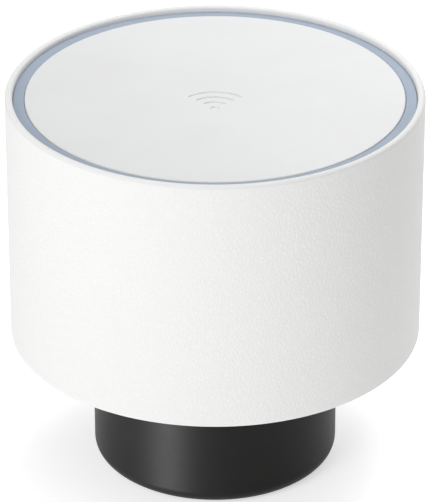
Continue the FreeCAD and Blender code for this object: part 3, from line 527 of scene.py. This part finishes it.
def metal(name, colour, roughness, stretch=(1, 1, 1), scratch=1500, depth=0.004):
    """Plated or bare metal: fine scratches along one way, and cloudy gloss."""
    material = make_material(name, colour, roughness, metallic=1.0)
    lines = noise_at(material, object_place(material, stretch), scratch, detail=5.0)
    cloud = noise_at(material, object_place(material), scale=120)
    set_colour(material, spread(material, cloud, NOISE_LOW, NOISE_HIGH),
               tinted(colour, 0.88), tinted(colour, 1.06))
    set_roughness(material, spread(material, lines, 0.35, 0.65,
                                   roughness - 0.08, roughness + 0.1))
    add_bump(material, lines, depth * MM)
    return material


zinc_plate = metal("zinc_plate", (0.55, 0.56, 0.57), 0.38)
screw_zinc = metal("screw_zinc", (0.5, 0.5, 0.52), 0.32, stretch=(1, 1, 0.2))
ease("ballast_plate", zinc_plate, "ballast_steel", width=0.3)
ease("ballast_screws", screw_zinc, "screw_steel", width=0.12)


# --- Port board ---------------------------------------------------------------
# A green circuit board on three posts, just over the ballast. It carries the sockets
# and buttons that face the port panel, and a transformer behind each network socket.

def solder_mask(name, colour, trace, pad):
    """A coated circuit board: copper traces and dots show as raised, lighter marks."""
    blocks_per_metre = 160.0
    traces_per_metre = 1300.0
    dots_per_metre = 420.0
    copper_height = 0.03 * MM
    turned_share = 0.5
    bare_share = 0.35
    dot_strength = 0.8
    material = make_material(name, colour, 0.34, Coat_Weight=0.4, Coat_Roughness=0.2)
    place = object_place(material)

    # Blocks of the board choose by chance which way their traces run, or have none.
    axes = add_node(material, "SeparateXYZ", Vector=place)
    blocks = add_node(material, "TexVoronoi", {"distance": "CHEBYCHEV"}, Vector=place,
                      Scale=blocks_per_metre)
    chance = add_node(material, "SeparateColor", Color=blocks.outputs["Color"])
    turn = calculate(material, "GREATER_THAN", chance.outputs["Red"], turned_share)
    busy = calculate(material, "GREATER_THAN", chance.outputs["Green"], bare_share)
    unturned = calculate(material, "SUBTRACT", 1.0, turn)
    across = calculate(material, "MULTIPLY", axes.outputs["X"], turn)
    along = calculate(material, "MULTIPLY", axes.outputs["Y"], unturned)
    way = calculate(material, "ADD", across, along)
    wave = calculate(material, "PINGPONG",
                     calculate(material, "MULTIPLY", way, traces_per_metre), 0.5)
    line = calculate(material, "MULTIPLY", spread(material, wave, 0.28, 0.34), busy)
    set_colour(material, line, colour, trace)
    add_bump(material, line, copper_height)

    # Plated dots are laid over the traces.
    dots = add_node(material, "TexVoronoi", Vector=place, Scale=dots_per_metre)
    dot = spread(material, dots.outputs["Distance"], 0.14, 0.2, 1.0, 0.0)
    base = material.node_tree.nodes["Principled BSDF"].inputs["Base Color"]
    blend = add_node(material, "Mix", {"data_type": "RGBA"})
    factor, first, second = blend.inputs[0], blend.inputs[6], blend.inputs[7]
    link = material.node_tree.links.new
    link(calculate(material, "MULTIPLY", dot, dot_strength), factor)
    link(base.links[0].from_socket, first)
    second.default_value = (*pad, 1)
    link(blend.outputs[2], base)
    add_bump(material, dot, copper_height)
    return material


def epoxy(name, colour):
    """Moulded chip body: dull, finely pitted."""
    return moulded(name, colour, 0.55, drift=0.15, spark=4200, depth=0.02)


green_board = solder_mask("green_board", (0.012, 0.09, 0.045), (0.03, 0.17, 0.08),
                          (0.55, 0.5, 0.38))
chip_epoxy = epoxy("chip_epoxy", (0.02, 0.02, 0.022))
ease("port_board", green_board, "board_green", width=0.1)
ease("line_transformers", chip_epoxy, "chip_black", width=0.3)
ease("port_board_screws", screw_zinc, "screw_steel", width=0.12)


# --- Network sockets ----------------------------------------------------------
# Two standard sockets side by side. Each is a nickel-plated shell folded round a black
# nylon insert, with eight gold-plated springs under the roof of its mouth.

nickel_shell = metal("nickel_shell", (0.66, 0.65, 0.63), 0.28, stretch=(1, 0.15, 1))
black_nylon = moulded("black_nylon", (0.018, 0.018, 0.019), 0.42, spark=2400, depth=0.02)
gold_plate = metal("gold_plate", (0.83, 0.62, 0.26), 0.22, stretch=(1, 0.2, 1), scratch=3000)
for side in ("left", "right"):
    ease("network_shell_" + side, nickel_shell, "jack_shell", width=0.12)
    ease("network_insert_" + side, black_nylon, "jack_black", width=0.2)
    ease("network_contacts_" + side, gold_plate, "contact_gold", width=0.05)


# --- Power inlet --------------------------------------------------------------
# A round black nylon inlet for a wall adapter's plug, with a nickel-plated centre pin. It
# is soldered to the port board and faces a hole in the panel.

ease("power_jack", black_nylon, "jack_black", width=0.2)
ease("power_pin", nickel_shell, "jack_shell", width=0.3)


# --- Buttons ------------------------------------------------------------------
# The pairing button's round cap stands out of the panel and has a dished end. The reset
# switch's plunger lies behind a pinhole. Both switches are soldered to the port board.

button_black = moulded("button_black", (0.03, 0.03, 0.031), 0.36, spark=3400, depth=0.01)
switch_black = moulded("switch_black", (0.025, 0.025, 0.026), 0.5, spark=2600, depth=0.02)
cap_low, cap_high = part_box("pair_button")
cap_centre = (cap_low + cap_high) / 2
cap_length = cap_high.y - cap_low.y
cap_radius = 2.8 * MM
cap_round = 0.45 * MM
flange_radius = (cap_high.x - cap_low.x) / 2
flange_thick = 1 * MM
dish_outer, dish_inner = 1.9 * MM, 0.9 * MM
dish_bend, dish_deep = cap_length - 0.22 * MM, cap_length - 0.3 * MM
cap = turn_outline([
    (0, 0), (flange_radius, 0), (flange_radius, flange_thick), (cap_radius, flange_thick),
    (cap_radius, cap_length), (dish_outer, cap_length), (dish_inner, dish_bend),
    (0, dish_deep)], steps=96)
round_rings(cap, [(cap_radius, cap_length)], cap_round, segments=5)
bmesh.ops.rotate(cap, verts=cap.verts, matrix=Matrix.Rotation(math.radians(-90), 3, "X"))
bmesh.ops.translate(cap, verts=cap.verts, vec=(cap_centre.x, cap_low.y, cap_centre.z))
publish(cap, "pair_cap", button_black, "button_black", "pair_button",
        body="pair_button", sharp=50)
ease("pair_plunger", button_black, "button_black", width=0.1, body="pair_button")
ease("reset_plunger", button_black, "button_black", width=0.1, body="reset_plunger")
ease("pair_switch", switch_black, "switch_black", width=0.15)
ease("reset_switch", switch_black, "switch_black", width=0.15)


# --- Ribbon cable -------------------------------------------------------------
# A flat white ribbon joins the port board to the main board in the drum, plugged into
# an ivory nylon socket at each end.

def dress(material, *nodes):
    """Give a material to CAD nodes that stay as they are."""
    for node in nodes:
        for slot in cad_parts[node].material_slots:
            slot.material = material


white_jacket = moulded("white_jacket", (0.72, 0.72, 0.7), 0.4, spark=1500, depth=0.01)
ribbon_white = make_material("ribbon_white", (0.76, 0.76, 0.74), 0.35)
wires_per_metre = 2000.0
wire_height = 0.06 * MM
ribbon_axes = add_node(ribbon_white, "SeparateXYZ", Vector=object_place(ribbon_white))
wire_steps = calculate(ribbon_white, "MULTIPLY", ribbon_axes.outputs["X"], wires_per_metre)
wires = spread(ribbon_white, calculate(ribbon_white, "PINGPONG", wire_steps, 0.5), 0.1, 0.4)
set_colour(ribbon_white, wires, (0.55, 0.57, 0.6), (0.78, 0.78, 0.76))
add_bump(ribbon_white, wires, wire_height)
ivory_nylon = moulded("ivory_nylon", (0.76, 0.72, 0.6), 0.45, spark=1800, depth=0.02)
dress(ribbon_white, "ribbon_cable")
ease("ribbon_sockets", ivory_nylon, "plug_ivory", width=0.2)


# --- Underside cover ----------------------------------------------------------
# A black disc closes the drum from below, held by four countersunk screws. Thirty-six
# radial slots let cool air in.

def make_vent(half_length, half_width, low, high, sides=24):
    """A round-ended vent slot lying along X: a rod whose two halves are drawn apart."""
    vent = bmesh.new()
    add_rod(vent, half_width, (0, 0, low), (0, 0, high), segments=sides)
    half_step = Matrix.Rotation(math.pi / sides, 3, "Z")
    bmesh.ops.rotate(vent, verts=vent.verts, matrix=half_step)
    for side in (-1, 1):
        end = [vert for vert in vent.verts if vert.co.x * side > 0]
        bmesh.ops.translate(vent, verts=end, vec=(side * (half_length - half_width), 0, 0))
    return vent


cover_low, cover_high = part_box("underside_cover")
cover_radius = outer_radius("underside_cover")
cover_hole = 24 * MM
cover_round = 0.2 * MM
cover = turn_outline([(cover_hole, cover_low.z), (cover_radius, cover_low.z),
                      (cover_radius, cover_high.z), (cover_hole, cover_high.z)])

vent_count = 36
vent_half_length = 4 * MM
vent_half_width = 1 * MM
vent_radius = 42.5 * MM
vent_low = cover_low.z - past
vent_high = cover_high.z + past
vents = bmesh.new()
for index in range(vent_count):
    gather(vents, make_vent(vent_half_length, vent_half_width, vent_low, vent_high),
           (vent_radius, 0, 0), (index + 0.5) * 360 / vent_count)

screw_radius = 51.5 * MM
screw_head = 2.7 * MM
screw_seat = cover_low.z + 0.9 * MM
for degrees in (45, 135, 225, 315):
    hole = turn_outline([(0, vent_low), (screw_head, vent_low), (screw_head, screw_seat),
                         (shank_bore, screw_seat), (shank_bore, vent_high), (0, vent_high)],
                        steps=48)
    gather(vents, hole, (screw_radius, 0, 0), degrees)
cover = combined(cover, vents, "DIFFERENCE")
cover_edges = sharp_edges(cover, lambda spot: near(spot.z, cover_low.z))
round_edges(cover, cover_edges, cover_round, segments=2)
cover_black = moulded("cover_black", (0.02, 0.02, 0.021), 0.6, drift=0.1,
                      spark=1700, depth=0.04)
publish(cover, "vented_cover", cover_black, "cover_black", "underside_cover")
ease("cover_screws", screw_zinc, "screw_steel", width=0.12)
ease("pedestal_screws", screw_zinc, "screw_steel", width=0.12)


# --- Chassis ------------------------------------------------------------------
# One grey moulding of glass-filled nylon: a vented plate, four columns, four posts for
# the main board and rails for the antenna cards. It rests on a ledge in the sleeve.

frame_grey = moulded("frame_grey", (0.075, 0.078, 0.084), 0.55, drift=0.14,
                     spark=1400, depth=0.04)
ease("chassis", frame_grey, "frame_grey", width=0.15)


# --- Antenna cards ------------------------------------------------------------
# Four printed cards stand in the rails, one on each side, with a copper patch under the
# blue coating. A thin grey cable runs from each to a gold-plated plug on the main board.

antenna_blue = solder_mask("antenna_blue", (0.012, 0.03, 0.06), (0.45, 0.22, 0.1),
                           (0.6, 0.5, 0.3))
cable_grey = moulded("cable_grey", (0.06, 0.06, 0.064), 0.45, spark=2200, depth=0.01)
for side in ("front", "right", "rear", "left"):
    ease("antenna_" + side, antenna_blue, "antenna_board", width=0.1)
    dress(cable_grey, "antenna_cable_" + side)
ease("antenna_plugs", gold_plate, "plug_metal", width=0.2)


# --- Main board ---------------------------------------------------------------
# A round green board with the processor in the middle, memory beside it, three tinned
# radio shields, four power coils and three capacitors. It lies on the chassis's posts.

shield_tin = metal("shield_tin", (0.68, 0.68, 0.66), 0.34, scratch=900)
ferrite_grey = moulded("ferrite_grey", (0.06, 0.06, 0.062), 0.6, drift=0.2,
                       spark=3000, depth=0.03)
can_foil = metal("can_foil", (0.7, 0.7, 0.72), 0.26, stretch=(1, 1, 0.1))
ease("main_board", green_board, "board_green", width=0.1)
ease("processor", chip_epoxy, "chip_black", width=0.15)
ease("memory_chips", chip_epoxy, "chip_black", width=0.12)
ease("radio_shields", shield_tin, "shield_tin", width=0.3)
ease("power_coils", ferrite_grey, "coil_grey", width=0.4)
ease("capacitors", can_foil, "capacitor_can", width=0.35)


# --- Heatsink -----------------------------------------------------------------
# An extruded aluminium heatsink sits on brass spacers over the chips, with grey silicone
# pads between, and four screws draw it down onto the chassis posts.

extruded_aluminium = metal("extruded_aluminium", (0.62, 0.63, 0.65), 0.36, stretch=(1, 0.08, 1),
                           scratch=1800, depth=0.01)
turned_brass = metal("turned_brass", (0.72, 0.55, 0.26), 0.26, stretch=(0.3, 0.3, 1))
pad_silicone = moulded("pad_silicone", (0.34, 0.4, 0.48), 0.7, drift=0.1, spark=900, depth=0.03)
ease("heatsink", extruded_aluminium, "heatsink_aluminium", width=0.2)
ease("thermal_pads", pad_silicone, "pad_grey", width=0.2)
ease("board_spacers", turned_brass, "spacer_brass", width=0.12)
ease("heatsink_screws", screw_zinc, "screw_steel", width=0.12)


# --- Top frame ----------------------------------------------------------------
# A grey plate screwed to the four columns. It holds the light engine on a raised ring,
# and has slots for the disc's hooks and vents in the middle.

ease("top_frame", frame_grey, "frame_grey", width=0.15)
ease("top_frame_screws", screw_zinc, "screw_steel", width=0.12)


# --- Light engine -------------------------------------------------------------
# A ring-shaped white board with twenty-four lights, under a bright white channel that
# leads their light up into the ring. A white cable joins it to the main board.

white_board = solder_mask("white_board", (0.72, 0.73, 0.72), (0.6, 0.61, 0.6),
                          (0.6, 0.5, 0.3))
baffle_white = moulded("baffle_white", (0.8, 0.8, 0.79), 0.3, drift=0.03, spark=1600, depth=0.01)
phosphor = moulded("phosphor", (0.78, 0.66, 0.26), 0.35, drift=0.1, spark=5000, depth=0.02)
ease("led_board", white_board, "light_board_white", width=0.1)
ease("leds", phosphor, "led_yellow", width=0.15)
ease("light_baffle", baffle_white, "baffle_white", width=0.12)
ease("led_plugs", ivory_nylon, "plug_ivory", width=0.2)
dress(white_jacket, "led_cable")


# --- Outer sleeve -------------------------------------------------------------
# The drum's wall: a white moulded tube with a fine leather grain all round. Its top edge
# is a smooth half-round rim, and a small ledge inside carries the chassis.

sleeve_low, sleeve_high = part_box("outer_sleeve")
sleeve_radius = outer_radius("outer_sleeve")
sleeve_wall = 2.29 * MM
sleeve_inner = sleeve_radius - sleeve_wall
rim_round = 1.13 * MM
lip_round_outside = 0.7 * MM
lip_round_inside = 0.3 * MM
ledge_width = 1.7 * MM
ledge_radius = sleeve_inner - ledge_width
ledge_low = 44 * MM
ledge_high = 45.6 * MM
sleeve = turn_outline([
    (sleeve_radius, sleeve_low.z), (sleeve_radius, sleeve_high.z),
    (sleeve_inner, sleeve_high.z), (sleeve_inner, ledge_high),
    (ledge_radius, ledge_high), (ledge_radius, ledge_low),
    (sleeve_inner, ledge_low), (sleeve_inner, sleeve_low.z)])
round_rings(sleeve, [(sleeve_radius, sleeve_high.z), (sleeve_inner, sleeve_high.z)],
            rim_round, segments=9)
round_rings(sleeve, [(sleeve_radius, sleeve_low.z)], lip_round_outside, segments=6)
round_rings(sleeve, [(sleeve_inner, sleeve_low.z)], lip_round_inside, segments=3)

# The grain is a net of creases between pebbles a little taller than wide, bent a little
# out of line.
white = (0.765, 0.765, 0.76)
pebbles_per_metre = 900.0
pebble_stretch = (1, 1, 0.75)
bends_per_metre = 700.0
bend_reach = 0.7 * MM
grain_depth = 0.043 * MM
spark_depth = 0.008 * MM
sleeve_white = make_material("sleeve_white", white, 0.6, Specular_IOR_Level=0.1)
grain_place = object_place(sleeve_white, pebble_stretch)
bend = add_node(sleeve_white, "TexNoise", Vector=grain_place, Scale=bends_per_metre,
                Detail=2.0)
push = add_node(sleeve_white, "VectorMath", {"operation": "SCALE"},
                Vector=bend.outputs["Color"], Scale=bend_reach)
bent = add_node(sleeve_white, "VectorMath", {"operation": "ADD"})
link_input(sleeve_white, bent, 0, grain_place)
link_input(sleeve_white, bent, 1, push.outputs[0])
creases = add_node(sleeve_white, "TexVoronoi", {"feature": "DISTANCE_TO_EDGE"},
                   Vector=bent.outputs[0], Scale=pebbles_per_metre)
pebble = spread(sleeve_white, creases.outputs["Distance"], 0.0, 0.28)

# It fades out below the rim and above the lower edge. The smooth rim's top is lightened towards
# its crown with a painted highlight.
grained_below = sleeve_high.z - 2.0 * MM
smooth_above = sleeve_high.z - 1.0 * MM
smooth_below = sleeve_low.z + 0.6 * MM
grained_above = sleeve_low.z + 1.4 * MM
unhighlighted_below = sleeve_high.z - 0.8 * MM
rim_highlight_full_above = sleeve_high.z - 0.15 * MM
height = add_node(sleeve_white, "SeparateXYZ", Vector=object_place(sleeve_white)).outputs["Z"]
below_rim = spread(sleeve_white, height, grained_below, smooth_above, 1.0, 0.0)
above_lip = spread(sleeve_white, height, smooth_below, grained_above)
# Painted highlight: the colour grows lighter up the rim, up to 0.85 of the ramp at its crown.
painted_rim_highlight = spread(sleeve_white, height, unhighlighted_below, rim_highlight_full_above, 0.0, 0.85)
grained = calculate(sleeve_white, "MULTIPLY", below_rim, above_lip)
grain = calculate(sleeve_white, "MULTIPLY", pebble, grained)
# Painted shade: the grain's creases are a little darker in colour than the pebble tops.
crease_shade_tone = calculate(sleeve_white, "MULTIPLY", pebble, 0.12)
# The base colour's tone adds the painted crease shade and the painted rim highlight.
tone = calculate(sleeve_white, "ADD", crease_shade_tone, painted_rim_highlight)
set_colour(sleeve_white, tone, tinted(white, 0.985), tinted(white, 1.16))
gloss = noise_at(sleeve_white, grain_place, scale=500, detail=5.0)
set_roughness(sleeve_white, spread(sleeve_white, gloss, NOISE_LOW, NOISE_HIGH, 0.55, 0.66))
add_bump(sleeve_white, grain, grain_depth)
add_bump(sleeve_white, noise_at(sleeve_white, grain_place, scale=3200, detail=3.0),
         spark_depth)
publish(sleeve, "grained_sleeve", sleeve_white, "sleeve_white", "outer_sleeve")


# --- Light ring ---------------------------------------------------------------
# A frosted, cool blue-grey light guide. Its flange fills the gap between the sleeve and
# the disc, and its leg reaches down to the lights.

ring_low, ring_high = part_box("light_ring")
ring_radius = outer_radius("light_ring")
ring_inner = 54.4 * MM
ring_round = 0.25 * MM
leg_outer = 55.2 * MM
leg_inner = 54.0 * MM
flange_low = 112.65 * MM
ring = turn_outline([
    (leg_inner, ring_low.z), (leg_outer, ring_low.z), (leg_outer, flange_low),
    (ring_radius, flange_low), (ring_radius, ring_high.z), (ring_inner, ring_high.z),
    (ring_inner, flange_low), (leg_inner, flange_low)])
round_rings(ring, [(ring_radius, ring_high.z), (ring_inner, ring_high.z)], ring_round)
ring_frost = moulded("ring_frost", (0.36, 0.425, 0.52), 0.55, drift=0.03, spark=2400,
                     depth=0.006, Specular_IOR_Level=0.3)
publish(ring, "frosted_ring", ring_frost, "ring_clear", "light_ring")


# --- Top disc -----------------------------------------------------------------
# The flat white top, matte and very finely textured, snapped in by four hooks. A plain
# wireless symbol, a dot and three arcs, is pressed into it in front of the middle.

disc_low, disc_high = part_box("top_disc")
disc_radius = outer_radius("top_disc")
disc_thick = 2 * MM
disc_under = disc_high.z - disc_thick
disc_round = 0.35 * MM
disc = turn_outline([(0, disc_under), (disc_radius, disc_under),
                     (disc_radius, disc_high.z), (0, disc_high.z)])
round_rings(disc, [(disc_radius, disc_high.z)], disc_round, segments=5)

hook_width = 5 * MM
hook_inner, hook_outer = 47.5 * MM, 49.1 * MM
hook_nose, hook_tip = 49.5 * MM, 50.2 * MM
hook_slope, hook_catch = disc_low.z + 1 * MM, disc_low.z + 1.6 * MM
hook_root = disc_under + disc_thick / 2
hook_outline = [
    (hook_inner, disc_low.z), (hook_nose, disc_low.z), (hook_tip, hook_slope),
    (hook_tip, hook_catch), (hook_outer, hook_catch), (hook_outer, hook_root),
    (hook_inner, hook_root)]
hooks = bmesh.new()
for degrees in (0, 90, 180, 270):
    hook = bmesh.new()
    side = hook.faces.new([hook.verts.new((x, -hook_width / 2, z)) for x, z in hook_outline])
    stretched = bmesh.ops.extrude_face_region(hook, geom=[side])["geom"]
    far_side = [item for item in stretched if isinstance(item, bmesh.types.BMVert)]
    bmesh.ops.translate(hook, verts=far_side, vec=(0, hook_width, 0))
    bmesh.ops.recalc_face_normals(hook, faces=hook.faces)
    gather(hooks, hook, degrees=degrees)
disc = combined(disc, hooks, "UNION")

mark_centre = Vector((0, -8.5 * MM, 0))
mark_depth = 0.3 * MM
mark_floor = disc_high.z - mark_depth
mark_top = disc_high.z + past
dot_radius = 1.3 * MM
arc_radii = (4.0 * MM, 7.2 * MM, 10.4 * MM)
arc_half = 0.6 * MM
arc_start = Matrix.Rotation(math.radians(45), 3, "Z")
arc_sweep = math.radians(90)
mark_reach = 20 * MM
mark_round = 0.15 * MM
mark = bmesh.new()
add_rod(mark, dot_radius, mark_centre + Vector((0, 0, mark_floor)),
        mark_centre + Vector((0, 0, mark_top)))
for radius in arc_radii:
    arc = bmesh.new()
    section = arc.faces.new([arc.verts.new((x, 0, z)) for x, z in (
        (radius - arc_half, mark_floor), (radius + arc_half, mark_floor),
        (radius + arc_half, mark_top), (radius - arc_half, mark_top))])
    bmesh.ops.rotate(arc, verts=arc.verts, matrix=arc_start)
    bmesh.ops.spin(arc, geom=[section] + section.edges[:] + section.verts[:],
                   cent=(0, 0, 0), axis=(0, 0, 1), angle=arc_sweep, steps=40,
                   use_merge=False)
    bmesh.ops.recalc_face_normals(arc, faces=arc.faces)
    gather(mark, arc, mark_centre)
disc = combined(disc, mark, "DIFFERENCE")
mark_edges = sharp_edges(disc, lambda spot: near(spot.z, disc_high.z)
                         and spot.xy.length < mark_reach)
round_edges(disc, mark_edges, mark_round, segments=2)
disc_white = moulded("disc_white", (0.79, 0.795, 0.795), 0.48, drift=0.012, spark=3600,
                     depth=0.008, Specular_IOR_Level=0.4)
publish(disc, "top_cap", disc_white, "disc_white", "top_disc")
